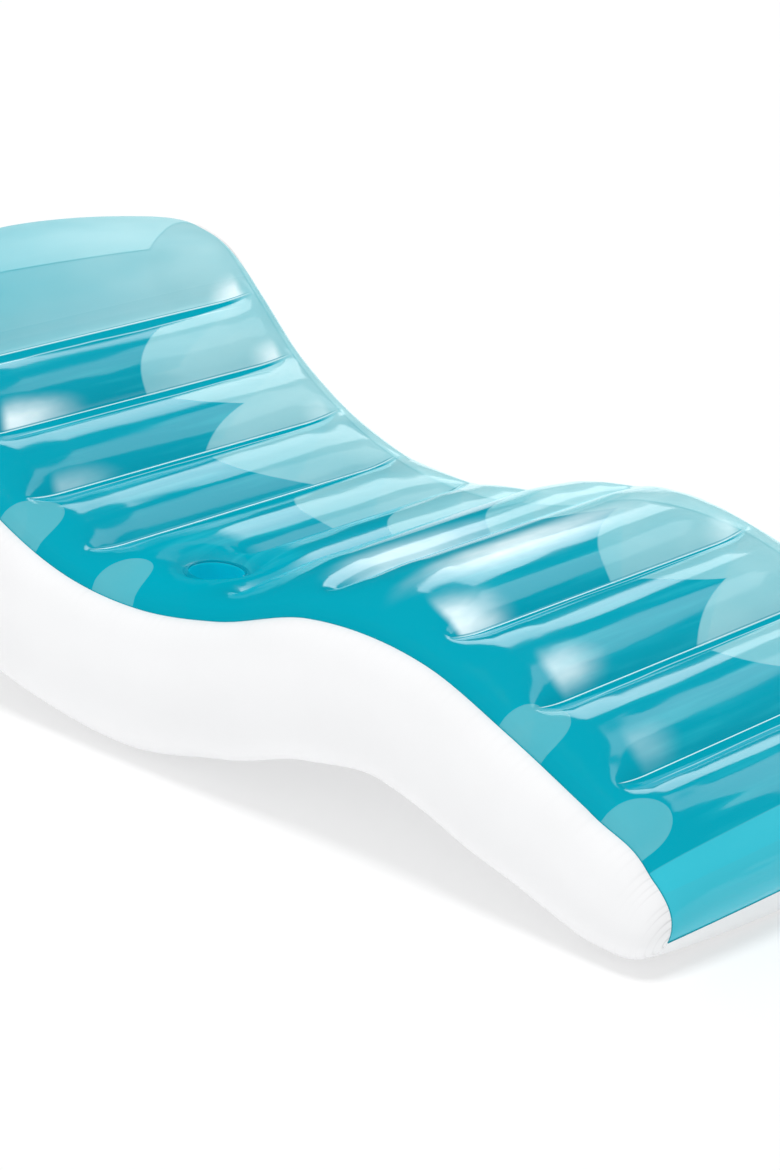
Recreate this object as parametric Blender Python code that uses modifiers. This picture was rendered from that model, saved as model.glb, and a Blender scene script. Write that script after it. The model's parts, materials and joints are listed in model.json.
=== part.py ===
"""Inflatable pool chair: an S-shaped lounge of welded film with a cup holder and an air valve.

Metres, +Z up, +X towards the sitter's feet, +Y to the sitter's left. The origin is on the
floor at the middle of the outline.
"""

import math

import bmesh
import bpy
import numpy as np
from mathutils import Matrix, Vector

# The long section: ten welds of the top film, from the head to the feet
weld_run = 1.443
top_weld_height = 0.498
body_thickness = 0.250
weld_run_shares = (0.0, 0.072, 0.159, 0.259, 0.369, 0.481, 0.612, 0.777, 0.892, 1.0)
weld_height_shares = (1.0, 0.813, 0.663, 0.564, 0.544, 0.600, 0.725, 0.717, 0.598, 0.462)
thickness_shares = (0.94, 0.95, 0.97, 1.0, 1.03, 0.97, 0.99, 0.91, 0.855, 0.79)

# Rolls past the first and the last weld: superellipses that swell towards the middle
roll_power = 2.6
roll_taper_power = 1.7
head_roll_length = 0.236
head_roll_crown = 0.048
head_roll_dip = 0.022
head_seam_turn = math.radians(107)
head_pillow_share = 0.86
toe_roll_length = 0.208
toe_roll_crown = 0.032
toe_roll_dip = 0.0
toe_seam_turn = math.radians(90)
toe_pillow_share = 0.95

# The cross-section
seam_half_width = 0.4387
side_bulge = 0.0545
side_full_depth = 0.17
shoulder_width = 0.0467
weld_half_length = seam_half_width - shoulder_width
shoulder_shares = (0.5, 0.84)
top_shoulder_rise = 0.020
top_seam_drop = 0.0225
top_crown_share = 0.19
top_crown_limit = 0.046
bottom_shoulder_rise = 0.010
bottom_seam_drop = 0.0
bottom_crown_share = 0.14
bottom_crown_limit = 0.020
crown_power = 0.8
channel_step_shares = (0.0, 0.22, 0.5, 0.78)
column_shares = (-0.75, -0.4, 0.0, 0.4, 0.75)
least_step_share = 0.07
least_column_gap = 0.05
head_steps = 8
toe_steps = 8
side_steps = 6

# Films, and the gaps between pieces that are welded together
film_thickness = 0.0004
seam_gap = 0.0005
seat_gap = 0.0003
cut_overrun = 0.01

# Baffles: upright sheets that tie the top and bottom films together at each weld
baffle_thickness = 0.0004
baffle_corner = 0.045
corner_steps = 5

# Cup holder, sunk in the seat on the sitter's right, where the fifth weld stops short
cup_weld = 4
cup_radius = 0.0455
cup_depth = 0.09
cup_past_weld = 0.024
cup_rise = 0.009
cup_rim_width = 0.009
cup_rim_thickness = 0.0016
cup_flat = 0.061
cup_edge_gap = 0.05
cup_weld_gap = 0.04
cup_side = weld_half_length - cup_edge_gap - cup_flat
cup_weld_end = cup_side - cup_flat - cup_weld_gap
cup_segments = 48

# Air valve, on the back of the backrest between the first two welds
valve_station = 0.5
valve_flat = 0.0285
flange_radius = 0.022
flange_thickness = 0.0012
collar_wall = 0.0014
collar_length = 0.008
stem_radius = 0.0075
stem_bore = 0.0045
stem_length = 0.0256
stem_stands_out = 0.0056
running_gap = 0.0003
valve_segments = 32
ear_reach = 0.0125
ear_width = 0.0056
ear_thickness = 0.0022
cap_radius = 0.0075
cap_thickness = 0.0026
shank_radius = 0.0041
shank_tip_radius = 0.0028
shank_length = 0.005
strap_width = 0.0046
strap_thickness = 0.0018
hinge_offset = 0.011
knuckle_radius = 0.0012
knuckle_segments = 16
flap_radius = 0.0066
flap_thickness = 0.0005
flap_hinge_offset = 0.0071
flap_tab_width = 0.006

merge_distance = 0.00005
search_steps = 40

weld_count = len(weld_run_shares)
last_station = weld_count - 1
y_axis = Vector((0, 1, 0))


class WeldLine:
    """A smooth curve in the XZ plane through one film's welds. Station 0 is the first weld."""

    def __init__(self, points):
        self.points = np.array(points)
        steps = np.diff(self.points, axis=0)
        self.chords = np.linalg.norm(steps, axis=1)
        slopes = steps / self.chords[:, None]
        before, after = self.chords[:-1, None], self.chords[1:, None]
        inner = (slopes[:-1] * after + slopes[1:] * before) / (before + after)
        self.tangents = np.vstack([slopes[:1], inner, slopes[-1:]])

    def locate(self, station):
        channel = min(int(station), len(self.chords) - 1)
        return channel, station - channel

    def point(self, station):
        channel, u = self.locate(station)
        start, end = self.points[channel], self.points[channel + 1]
        lead, trail = self.tangents[channel : channel + 2] * self.chords[channel]
        return (
            start * (1 + 2 * u) * (1 - u) ** 2
            + lead * u * (1 - u) ** 2
            + end * u**2 * (3 - 2 * u)
            + trail * u**2 * (u - 1)
        )

    def direction(self, station):
        channel, u = self.locate(station)
        start, end = self.points[channel], self.points[channel + 1]
        lead, trail = self.tangents[channel : channel + 2] * self.chords[channel]
        slope = (
            6 * u * (1 - u) * (end - start)
            + lead * (1 - u) * (1 - 3 * u)
            + trail * u * (3 * u - 2)
        )
        return slope / np.linalg.norm(slope)


def left_of(direction):
    """The XZ direction turned a quarter left, so that a line towards +X gives its upper side."""
    return np.array([-direction[1], direction[0]])


def make_weld_lines():
    """The top film's weld line, and the bottom film's one body thickness below it."""
    top = WeldLine(
        [
            (weld_run * run, top_weld_height * height)
            for run, height in zip(weld_run_shares, weld_height_shares)
        ]
    )
    bottom = WeldLine(
        [
            top.points[i] - left_of(top.tangents[i]) * body_thickness * thickness_shares[i]
            for i in range(weld_count)
        ]
    )
    return top, bottom


top_line, bottom_line = make_weld_lines()


class Film:
    """What differs between the top film and the bottom film."""

    def __init__(self, line, face, shoulder_rise, seam_drop, crown_share, crown_limit):
        self.line = line
        self.face = face
        self.shoulder_rise = shoulder_rise
        self.seam_drop = seam_drop
        self.crown_share = crown_share
        self.crown_limit = crown_limit

    def pinch(self, weld, y):
        """1 where the weld holds the film down, 0 past its ends."""
        right_end = weld_half_length
        if weld == cup_weld and self.face > 0:
            right_end = cup_weld_end
        return 1.0 if -right_end - seam_gap <= y <= weld_half_length + seam_gap else 0.0


top_film = Film(
    top_line, 1, top_shoulder_rise, top_seam_drop, top_crown_share, top_crown_limit
)
bottom_film = Film(
    bottom_line,
    -1,
    bottom_shoulder_rise,
    bottom_seam_drop,
    bottom_crown_share,
    bottom_crown_limit,
)


class Roll:
    """The closed end of the chair past one end weld."""

    def __init__(self, weld, sense, length, crown, dip, seam_turn, pillow_share):
        self.weld = weld
        self.along = top_line.tangents[weld] * sense
        self.up = left_of(top_line.tangents[weld])
        self.half = body_thickness * thickness_shares[weld] / 2
        self.centre = top_line.points[weld] - self.up * self.half
        self.length = length
        self.crown = crown
        self.dip = dip
        self.seam_turn = seam_turn
        self.pillow_share = pillow_share


head_roll = Roll(
    0, -1, head_roll_length, head_roll_crown, head_roll_dip, head_seam_turn, head_pillow_share
)
toe_roll = Roll(
    last_station,
    1,
    toe_roll_length,
    toe_roll_crown,
    toe_roll_dip,
    toe_seam_turn,
    toe_pillow_share,
)


def edge_fade(y):
    """1 over the welds, falling in a quarter ellipse to 0 at the side seam."""
    past = (abs(y) - weld_half_length) / (seam_half_width - weld_half_length)
    return math.sqrt(1 - min(max(past, 0.0), 1.0) ** 2)


def pillow(u):
    """The swelling of the film between two welds, from 0 at u = 0 to 1 halfway."""
    return (4 * u * (1 - u)) ** crown_power


def film_height(film, station, y):
    """How far the film stands proud of its weld line between two welds."""
    channel, u = film.line.locate(station)
    crown = min(film.line.chords[channel] * film.crown_share, film.crown_limit)
    pinch = film.pinch(channel, y) * (1 - u) + film.pinch(channel + 1, y) * u
    height = pinch * crown * pillow(u) + (1 - pinch) * film.shoulder_rise
    fade = edge_fade(y)
    return height * fade - film.seam_drop * (1 - fade)


def roll_point(film, roll, fraction, y):
    """A point of an end roll, from the end weld at fraction 0 to the end seam at 1."""
    start = 0 if film.face > 0 else math.pi
    turn = start + fraction * (roll.seam_turn - start)
    run = math.sin(turn) ** (2 / roll_power)
    rise = math.copysign(abs(math.cos(turn)) ** (2 / roll_power), math.cos(turn))
    lean = run ** (roll_power - 1) / roll.length
    stand = math.copysign(abs(rise) ** (roll_power - 1), rise) / roll.half
    outward = (roll.along * lean + roll.up * stand) / math.hypot(lean, stand)
    fade = edge_fade(y)
    taper = 1 - (abs(y) / seam_half_width) ** roll_taper_power
    swell = roll.crown * pillow(fraction * roll.pillow_share) * taper
    free = 1 - film.pinch(roll.weld, y)
    height = swell + free * film.shoulder_rise * fade * (1 - fraction) ** 2
    drop = film.seam_drop * (1 - fade) * (1 - fraction) + roll.dip * fraction
    lift = roll.half * rise - drop + film.face * seam_gap / 2 * fraction
    return roll.centre + roll.along * roll.length * run + roll.up * lift + outward * height


def film_point(film, row, y):
    """The film's outer face at a row: below 0 the head roll, past the last weld the toe roll."""
    if row < 0:
        return roll_point(film, head_roll, -row, y)
    if row > last_station:
        return roll_point(film, toe_roll, row - last_station, y)
    outward = left_of(film.line.direction(row)) * film.face
    return film.line.point(row) + outward * film_height(film, row, y)


def station_at(line, x):
    """The station where a weld line passes over x."""
    stations = np.linspace(0, last_station, search_steps * last_station + 1)
    return float(np.interp(x, [line.point(s)[0] for s in stations], stations))


def cup_centre_in_section():
    weld = top_line.points[cup_weld]
    return np.array([weld[0] + cup_past_weld, weld[1] + cup_rise])


def flat_edge_rows():
    """The rows along both edges of the flats that carry the cup holder and the valve."""
    x = cup_centre_in_section()[0]
    half = valve_flat / bottom_line.chords[int(valve_station)]
    cup = (station_at(top_line, x - cup_flat), station_at(top_line, x + cup_flat))
    return cup, (valve_station - half, valve_station + half)


def film_rows():
    """Every row of the films, from the head seam to the toe seam."""
    extra = [*cup_rows, *valve_rows]
    rows = [-(step / head_steps) for step in range(head_steps, 0, -1)]
    for channel in range(last_station):
        for share in channel_step_shares:
            station = channel + share
            clear = all(abs(station - other) > least_step_share for other in extra)
            if share == 0 or clear:
                rows.append(station)
    rows.append(float(last_station))
    rows += extra
    rows += [last_station + step / toe_steps for step in range(1, toe_steps + 1)]
    return sorted(rows)


def film_columns():
    """Places across both films, close together over the shoulders."""
    extra = [*cup_columns, -cup_weld_end, -valve_flat, valve_flat]
    inner = [share * weld_half_length for share in column_shares]
    inner = [y for y in inner if all(abs(y - other) > least_column_gap for other in extra)]
    span = seam_half_width - weld_half_length
    outer = [weld_half_length + span * share for share in shoulder_shares]
    outer = [weld_half_length] + outer + [seam_half_width]
    return [-y for y in reversed(outer)] + sorted(inner + extra) + outer


cup_columns = (-cup_side - cup_flat, -cup_side + cup_flat)
valve_columns = (-valve_flat, valve_flat)
columns = film_columns()
cup_rows, valve_rows = flat_edge_rows()
rows = film_rows()
reaches = [film_point(film, row, 0)[0] for film in (top_film, bottom_film) for row in rows]
middle_x = (min(reaches) + max(reaches)) / 2


def place(section_point, y):
    """A point of the long section as a place in the chair, never below the floor."""
    return Vector((section_point[0] - middle_x, y, max(section_point[1], 0.0)))


cup_centre = place(cup_centre_in_section(), -cup_side)


def make_valve_frame():
    """The valve's own frame: z points out of the film, x up the backrest, y is the chair's."""
    outward = -left_of(bottom_line.direction(valve_station))
    crown = film_height(bottom_film, valve_station, 0)
    centre = place(bottom_line.point(valve_station) + outward * crown, 0)
    z = Vector((outward[0], 0, outward[1]))
    frame = Matrix((y_axis.cross(z), y_axis, z)).transposed().to_4x4()
    frame.translation = centre
    return frame


valve_frame = make_valve_frame()


def material(name, colour, roughness, alpha=1.0):
    """A Principled material with one colour."""
    new = bpy.data.materials.new(name)
    new.use_nodes = True
    shader = new.node_tree.nodes["Principled BSDF"]
    shader.inputs["Base Color"].default_value = (*colour, 1)
    shader.inputs["Roughness"].default_value = roughness
    shader.inputs["Metallic"].default_value = 0
    shader.inputs["Alpha"].default_value = alpha
    return new


def add_object(name, data, look, group):
    obj = bpy.data.objects.new(name, data)
    data.materials.append(look)
    group.objects.link(obj)
    return obj


def add_modifier(obj, kind, **settings):
    modifier = obj.modifiers.new(kind.title(), kind)
    for key, value in settings.items():
        setattr(modifier, key, value)
    return modifier


def loft(name, sections, flip, look, group):
    """A sheet through unlike sections of equal point counts, given its film thickness."""
    mesh = bpy.data.meshes.new(name)
    bm = bmesh.new()
    grid = [[bm.verts.new(point) for point in section] for section in sections]
    for near, far in zip(grid, grid[1:]):
        for i in range(len(near) - 1):
            corners = (near[i], far[i], far[i + 1], near[i + 1])
            bm.faces.new(reversed(corners) if flip else corners)
    bmesh.ops.remove_doubles(bm, verts=bm.verts, dist=seat_gap / 2)
    bm.to_mesh(mesh)
    bm.free()
    mesh.shade_smooth()
    obj = add_object(name, mesh, look, group)
    add_modifier(obj, "SOLIDIFY", thickness=film_thickness, offset=-1)
    return obj


def cutter(name, radius, depth, frame, segments, group):
    """A wire cylinder that cuts a round hole along its frame's z."""
    bpy.ops.mesh.primitive_cylinder_add(vertices=segments, radius=radius, depth=depth)
    obj = bpy.context.object
    obj.name = name
    obj.matrix_world = frame
    for owner in obj.users_collection:
        owner.objects.unlink(obj)
    group.objects.link(obj)
    obj.hide_render = True
    obj.display_type = "WIRE"
    return obj


def turned(name, profile, closed, segments, look, group):
    """A profile of (radius, height) turned round z, running down its outer side."""
    mesh = bpy.data.meshes.new(name)
    count = len(profile)
    edges = [(i, i + 1) for i in range(count - 1)]
    if closed:
        edges.append((count - 1, 0))
    mesh.from_pydata([(radius, 0, height) for radius, height in profile], edges, [])
    obj = add_object(name, mesh, look, group)
    add_modifier(
        obj,
        "SCREW",
        steps=segments,
        render_steps=segments,
        use_merge_vertices=True,
        merge_threshold=merge_distance,
        use_smooth_shade=True,
    )
    return obj


def block(name, low, high, frame, group):
    """A plain wire block between two corners, which another piece takes in."""
    mesh = bpy.data.meshes.new(name)
    bm = bmesh.new()
    bmesh.ops.create_cube(bm, size=1)
    bmesh.ops.scale(bm, vec=Vector(high) - Vector(low), verts=bm.verts)
    bmesh.ops.translate(bm, vec=(Vector(high) + Vector(low)) / 2, verts=bm.verts)
    bm.to_mesh(mesh)
    bm.free()
    obj = bpy.data.objects.new(name, mesh)
    group.objects.link(obj)
    obj.matrix_world = frame
    obj.hide_render = True
    obj.display_type = "WIRE"
    return obj


def film_sections(film, flat_rows, flat_columns, centre, normal):
    """The film row by row. The points in the given rows and columns lie flat on the centre."""
    sections = []
    for row in rows:
        section = []
        for y in columns:
            point = place(film_point(film, row, y), y)
            in_row = flat_rows[0] <= row <= flat_rows[1]
            if in_row and flat_columns[0] <= y <= flat_columns[1]:
                point -= normal * (point - centre).dot(normal)
            section.append(point)
        sections.append(section)
    return sections


def make_top_film(look, group, cutters):
    up = Vector((0, 0, 1))
    sections = film_sections(top_film, cup_rows, cup_columns, cup_centre, up)
    obj = loft("top_film", sections, False, look, group)
    hole = cutter(
        "cup_hole",
        cup_radius + film_thickness + seat_gap,
        cut_overrun,
        Matrix.Translation(cup_centre),
        cup_segments,
        cutters,
    )
    add_modifier(obj, "BOOLEAN", object=hole, operation="DIFFERENCE", solver="EXACT")


def make_bottom_film(look, group, cutters):
    centre = valve_frame.translation
    outward = valve_frame.col[2].to_3d()
    sections = film_sections(bottom_film, valve_rows, valve_columns, centre, outward)
    obj = loft("bottom_film", sections, True, look, group)
    radius = stem_radius + running_gap + collar_wall + seat_gap
    hole = cutter("valve_hole", radius, cut_overrun, valve_frame, valve_segments, cutters)
    add_modifier(obj, "BOOLEAN", object=hole, operation="DIFFERENCE", solver="EXACT")


def panel_section(row, side):
    """From the top seam to the bottom seam, bulging out in half an ellipse."""
    upper = film_point(top_film, row, seam_half_width)
    lower = film_point(bottom_film, row, seam_half_width)
    if row in (rows[0], rows[-1]):
        upper = lower = (upper + lower) / 2
    depth = float(np.linalg.norm(lower - upper))
    bulge = side_bulge * math.sin(math.pi / 2 * min(depth / side_full_depth, 1))
    points = []
    for step in range(side_steps + 1):
        angle = math.pi * step / side_steps
        down = (1 - math.cos(angle)) / 2
        y = seam_half_width + seam_gap + bulge * math.sin(angle)
        points.append(place(upper + (lower - upper) * down, side * y))
    return points


def make_side_panel(name, side, look, group):
    loft(name, [panel_section(row, side) for row in rows], side < 0, look, group)


def corner_outline(left, right, low, high, radius):
    """A rectangle with four round corners, as points of a closed outline."""
    corners = [(right, high), (left, high), (left, low), (right, low)]
    points = []
    for quarter, (x, y) in enumerate(corners):
        centre_x = x - radius if x == right else x + radius
        centre_y = y - radius if y == high else y + radius
        for step in range(corner_steps + 1):
            angle = math.pi / 2 * (quarter + step / corner_steps)
            points.append(
                (centre_x + radius * math.cos(angle), centre_y + radius * math.sin(angle))
            )
    return points


def make_baffle(weld, look, group):
    """The sheet under one weld, from film to film, with round corners."""
    up = left_of(top_line.tangents[weld])
    height = body_thickness * thickness_shares[weld]
    margin = film_thickness + seat_gap
    right_end = cup_weld_end if weld == cup_weld else weld_half_length
    name = f"baffle_{weld + 1:02d}"
    curve = bpy.data.curves.new(name, "CURVE")
    curve.dimensions = "2D"
    curve.fill_mode = "BOTH"
    curve.extrude = baffle_thickness / 2
    outline = corner_outline(
        -right_end, weld_half_length, margin - height, -margin, baffle_corner
    )
    spline = curve.splines.new("POLY")
    spline.points.add(len(outline) - 1)
    for point, (across, rise) in zip(spline.points, outline):
        point.co = (across, rise, 0, 1)
    spline.use_cyclic_u = True
    obj = add_object(name, curve, look, group)
    up_3d = Vector((up[0], 0, up[1]))
    frame = Matrix((y_axis, up_3d, y_axis.cross(up_3d))).transposed().to_4x4()
    frame.translation = place(top_line.points[weld], 0)
    obj.matrix_world = frame


def make_cup_holder(looks, group):
    """A film sleeve hung in the seat, a welded rim on top of the seat and a round base."""
    outer = cup_radius + film_thickness
    frame = Matrix.Translation(cup_centre)
    sleeve_profile = [
        (cup_radius, 0),
        (outer, 0),
        (outer, -cup_depth),
        (cup_radius, -cup_depth),
    ]
    top = seat_gap + cup_rim_thickness
    rim_profile = [
        (cup_radius, top - seat_gap),
        (cup_radius + cup_rim_width / 3, top),
        (cup_radius + cup_rim_width * 2 / 3, top),
        (cup_radius + cup_rim_width, seat_gap * 2),
        (cup_radius + cup_rim_width, seat_gap),
        (cup_radius, seat_gap),
    ]
    floor = -cup_depth - seat_gap
    base_profile = [(0, floor), (outer, floor), (outer, floor - film_thickness)]
    base_profile.append((0, floor - film_thickness))
    for name, profile, closed, look in (
        ("cup_sleeve", sleeve_profile, True, looks["cup"]),
        ("cup_rim", rim_profile, True, looks["rim"]),
        ("cup_base", base_profile, False, looks["cup"]),
    ):
        obj = turned(name, profile, closed, cup_segments, look, group)
        obj.matrix_world = frame


def make_valve_base(look, group):
    """A flange on the film with a short collar that the stem slides in."""
    inner = stem_radius + running_gap
    outer = inner + collar_wall
    top = seat_gap + flange_thickness
    profile = [
        (inner, top),
        (flange_radius, top),
        (flange_radius, seat_gap),
        (outer, seat_gap),
        (outer, -collar_length),
        (inner, -collar_length),
    ]
    obj = turned("valve_base", profile, True, valve_segments, look, group)
    obj.matrix_world = valve_frame


def make_valve_stem(look, group, cutters):
    """The blowing tube, with an ear beside its mouth that carries the plug's strap."""
    profile = [
        (stem_bore, stem_stands_out),
        (stem_radius, stem_stands_out),
        (stem_radius, stem_stands_out - stem_length),
        (stem_bore, stem_stands_out - stem_length),
    ]
    obj = turned("valve_stem", profile, True, valve_segments, look, group)
    obj.matrix_world = valve_frame
    ear = block(
        "valve_ear",
        (-ear_reach, -ear_width / 2, stem_stands_out - ear_thickness),
        (-(stem_radius + stem_bore) / 2, ear_width / 2, stem_stands_out),
        valve_frame,
        cutters,
    )
    add_modifier(obj, "BOOLEAN", object=ear, operation="UNION", solver="EXACT")


def hinge_frame(x, z):
    """A frame on a hinge axis of the valve, parallel to the valve's own frame."""
    return valve_frame @ Matrix.Translation((x, 0, z))


def make_valve_plug(look, group, cutters):
    """A cap with a tapered shank in the stem, on a strap that turns over the ear."""
    pivot_height = seat_gap + knuckle_radius
    frame = hinge_frame(-hinge_offset, stem_stands_out + pivot_height)
    pivot = bpy.data.objects.new("plug_pivot", None)
    group.objects.link(pivot)
    pivot.matrix_world = frame
    low = seat_gap - pivot_height
    profile = [
        (0, low + cap_thickness),
        (cap_radius, low + cap_thickness),
        (cap_radius, low),
        (shank_radius, low),
        (shank_tip_radius, low - shank_length),
        (0, low - shank_length),
    ]
    obj = turned("valve_plug", profile, False, valve_segments, look, group)
    obj.parent = pivot
    obj.location = (hinge_offset, 0, 0)
    strap = block(
        "plug_strap",
        (0, -strap_width / 2, -strap_thickness / 2),
        (hinge_offset - cap_radius / 2, strap_width / 2, strap_thickness / 2),
        frame,
        cutters,
    )
    turn = Matrix.Rotation(math.pi / 2, 4, "X")
    knuckle = cutter(
        "plug_knuckle", knuckle_radius, strap_width, frame @ turn, knuckle_segments, cutters
    )
    add_modifier(obj, "BOOLEAN", object=strap, operation="UNION", solver="EXACT")
    add_modifier(obj, "BOOLEAN", object=knuckle, operation="UNION", solver="EXACT")


def make_valve_flap(look, group, cutters):
    """The check flap under the stem's inner end, hinged on a short tab."""
    inner_end = stem_stands_out - stem_length - seat_gap
    frame = hinge_frame(-flap_hinge_offset, inner_end)
    pivot = bpy.data.objects.new("flap_pivot", None)
    group.objects.link(pivot)
    pivot.matrix_world = frame
    profile = [(0, 0), (flap_radius, 0), (flap_radius, -flap_thickness), (0, -flap_thickness)]
    obj = turned("valve_flap", profile, False, valve_segments, look, group)
    obj.parent = pivot
    obj.location = (flap_hinge_offset, 0, 0)
    tab = block(
        "flap_tab",
        (0, -flap_tab_width / 2, -flap_thickness),
        (flap_hinge_offset - flap_radius / 2, flap_tab_width / 2, 0),
        frame,
        cutters,
    )
    add_modifier(obj, "BOOLEAN", object=tab, operation="UNION", solver="EXACT")


def new_collection(name):
    collection = bpy.data.collections.new(name)
    bpy.context.scene.collection.children.link(collection)
    return collection


def make_materials():
    return {
        "top": material("tinted_film", (0.02, 0.46, 0.55), 0.14, 0.85),
        "white": material("white_film", (0.9, 0.91, 0.92), 0.38),
        "baffle": material("clear_film", (0.35, 0.72, 0.78), 0.25, 0.6),
        "cup": material("cup_film", (0.03, 0.5, 0.68), 0.15, 0.75),
        "rim": material("rim_film", (0.05, 0.5, 0.62), 0.12, 0.9),
        "valve": material("valve_plastic", (0.8, 0.86, 0.88), 0.3),
    }


def main():
    for obj in list(bpy.data.objects):
        bpy.data.objects.remove(obj)
    chair = new_collection("inflatable_pool_chair")
    cutters = new_collection("cutters")
    looks = make_materials()
    make_top_film(looks["top"], chair, cutters)
    make_bottom_film(looks["white"], chair, cutters)
    make_side_panel("side_panel_right", -1, looks["white"], chair)
    make_side_panel("side_panel_left", 1, looks["white"], chair)
    for weld in range(weld_count):
        make_baffle(weld, looks["baffle"], chair)
    make_cup_holder(looks, chair)
    make_valve_base(looks["valve"], chair)
    make_valve_stem(looks["valve"], chair, cutters)
    make_valve_plug(looks["valve"], chair, cutters)
    make_valve_flap(looks["valve"], chair, cutters)


main()
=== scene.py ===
import json
import math

import bmesh
import bpy
import numpy as np
from mathutils import Matrix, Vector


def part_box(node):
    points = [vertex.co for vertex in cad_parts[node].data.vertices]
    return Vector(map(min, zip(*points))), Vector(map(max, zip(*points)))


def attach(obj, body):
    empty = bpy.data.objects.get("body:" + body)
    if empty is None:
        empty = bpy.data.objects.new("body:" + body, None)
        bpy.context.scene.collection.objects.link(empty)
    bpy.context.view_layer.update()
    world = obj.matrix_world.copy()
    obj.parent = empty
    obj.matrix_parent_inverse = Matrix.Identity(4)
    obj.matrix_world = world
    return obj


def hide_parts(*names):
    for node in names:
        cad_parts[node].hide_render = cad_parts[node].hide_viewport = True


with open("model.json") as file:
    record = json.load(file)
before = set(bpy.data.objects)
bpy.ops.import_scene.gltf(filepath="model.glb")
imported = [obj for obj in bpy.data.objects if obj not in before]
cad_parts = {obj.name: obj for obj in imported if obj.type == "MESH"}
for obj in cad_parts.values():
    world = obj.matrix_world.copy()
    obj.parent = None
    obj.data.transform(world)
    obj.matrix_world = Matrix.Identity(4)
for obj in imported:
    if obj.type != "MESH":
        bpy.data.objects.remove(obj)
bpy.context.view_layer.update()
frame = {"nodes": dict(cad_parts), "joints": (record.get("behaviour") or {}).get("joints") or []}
print("frame loaded")

# Metres, +X towards the feet, +Y to the sitter's left. Outlines of the long section are (x, z) pairs.
section = dict(
    weldHalf=0.392,       # half a weld's length
    halfWidth=0.4387,     # from the middle to the side seam
    cupWeld=4,            # the weld that stops short before the cup holder
    cupWeldEnd=0.18,
    filmMargin=0.0007,    # from a baffle's edge to the film's outer face
    shoulderStart=0.345,  # where the film starts to turn down to the side seam
    weldFlat=0.0036,      # width of the pressed line of a weld
    edgeDepth=0.0005,     # a baffle's corners this near its end are its edge
)
headRoll = dict(length=0.236, crown=0.048, dip=0.022, seamTurn=math.radians(107), pillow=0.86, sag=0.0)
toeRoll = dict(length=0.208, crown=0.032, dip=0.0, seamTurn=math.radians(90), pillow=0.95, sag=0.006)
rollPower = 2.6           # of the superellipse that a roll follows
rollTaper = 1.7           # how a roll's swelling falls off towards the sides
grid = dict(rowStep=0.0048, columns=176, headRows=80, toeRows=96, panelSteps=44, merge=0.00002)
random = np.random.default_rng(7)   # the same draws on each run


def leftOf(direction):
    # the (x, z) direction turned a quarter left
    return np.stack([-direction[..., 1], direction[..., 0]], -1)


def unit(vectors):
    return vectors / np.linalg.norm(vectors, axis=-1, keepdims=True)


def smoothStep(low, high, value):
    t = np.clip((value - low) / (high - low), 0, 1)
    return t * t * (3 - 2 * t)


def baffleEdges(node):
    # the middles of a baffle's top edge and bottom edge, read from its CAD solid
    points = np.array([v.co for v in frame["nodes"][node].data.vertices])
    top = points[points[:, 2] > points[:, 2].max() - section["edgeDepth"]]
    bottom = points[points[:, 2] < points[:, 2].min() + section["edgeDepth"]]
    ends = [(side[:, [0, 2]].min(0) + side[:, [0, 2]].max(0)) / 2 for side in (top, bottom)]
    up = unit(ends[0] - ends[1])
    return ends[0] + up * section["filmMargin"], ends[1] - up * section["filmMargin"]


baffleNames = sorted(name for name in frame["nodes"] if name.startswith("baffle_"))
weldEnds = np.array([baffleEdges(name) for name in baffleNames])
weldTops, weldBottoms = weldEnds[:, 0], weldEnds[:, 1]
weldUps = unit(weldTops - weldBottoms)
weldSlopes = -leftOf(weldUps)
lastWeld = len(baffleNames) - 1


def hermite(points, stations):
    # a cubic between each two welds, whose slopes there are square to the baffles
    channel = np.clip(stations.astype(int), 0, lastWeld - 1)
    u = (stations - channel)[:, None]
    start, end = points[channel], points[channel + 1]
    chord = np.linalg.norm(end - start, axis=1, keepdims=True)
    lead, trail = weldSlopes[channel] * chord, weldSlopes[channel + 1] * chord
    place = start * (1 + 2 * u) * (1 - u) ** 2 + lead * u * (1 - u) ** 2
    place = place + end * u**2 * (3 - 2 * u) + trail * u**2 * (u - 1)
    slope = 6 * u * (1 - u) * (end - start) + lead * (1 - u) * (1 - 3 * u) + trail * u * (3 * u - 2)
    return place, unit(slope)


def makeStations():
    # rows between welds about rowStep apart, with both edges of each pressed line
    chords = np.linalg.norm(np.diff(weldTops, axis=0), axis=1)
    rows = []
    for channel, chord in enumerate(chords):
        count = round(chord / grid["rowStep"])
        rows += list(channel + np.arange(count) / count)
        edge = section["weldFlat"] / 2 / chord
        rows += [channel + edge, channel + 1 - edge]
    return np.array(sorted(rows) + [float(lastWeld)]), chords


stations, chords = makeStations()
headShares = np.linspace(1, 0, grid["headRows"], endpoint=False)
toeShares = np.linspace(0, 1, grid["toeRows"] + 1)[1:]
across = np.linspace(-section["halfWidth"], section["halfWidth"], grid["columns"])
columnGap = across[1] - across[0]
pastHead, pastToe = len(headShares), len(headShares) + len(stations)
rowCount = pastToe + len(toeShares)
weldRows = [pastHead + int(np.abs(stations - weld).argmin()) for weld in range(lastWeld + 1)]


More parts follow.
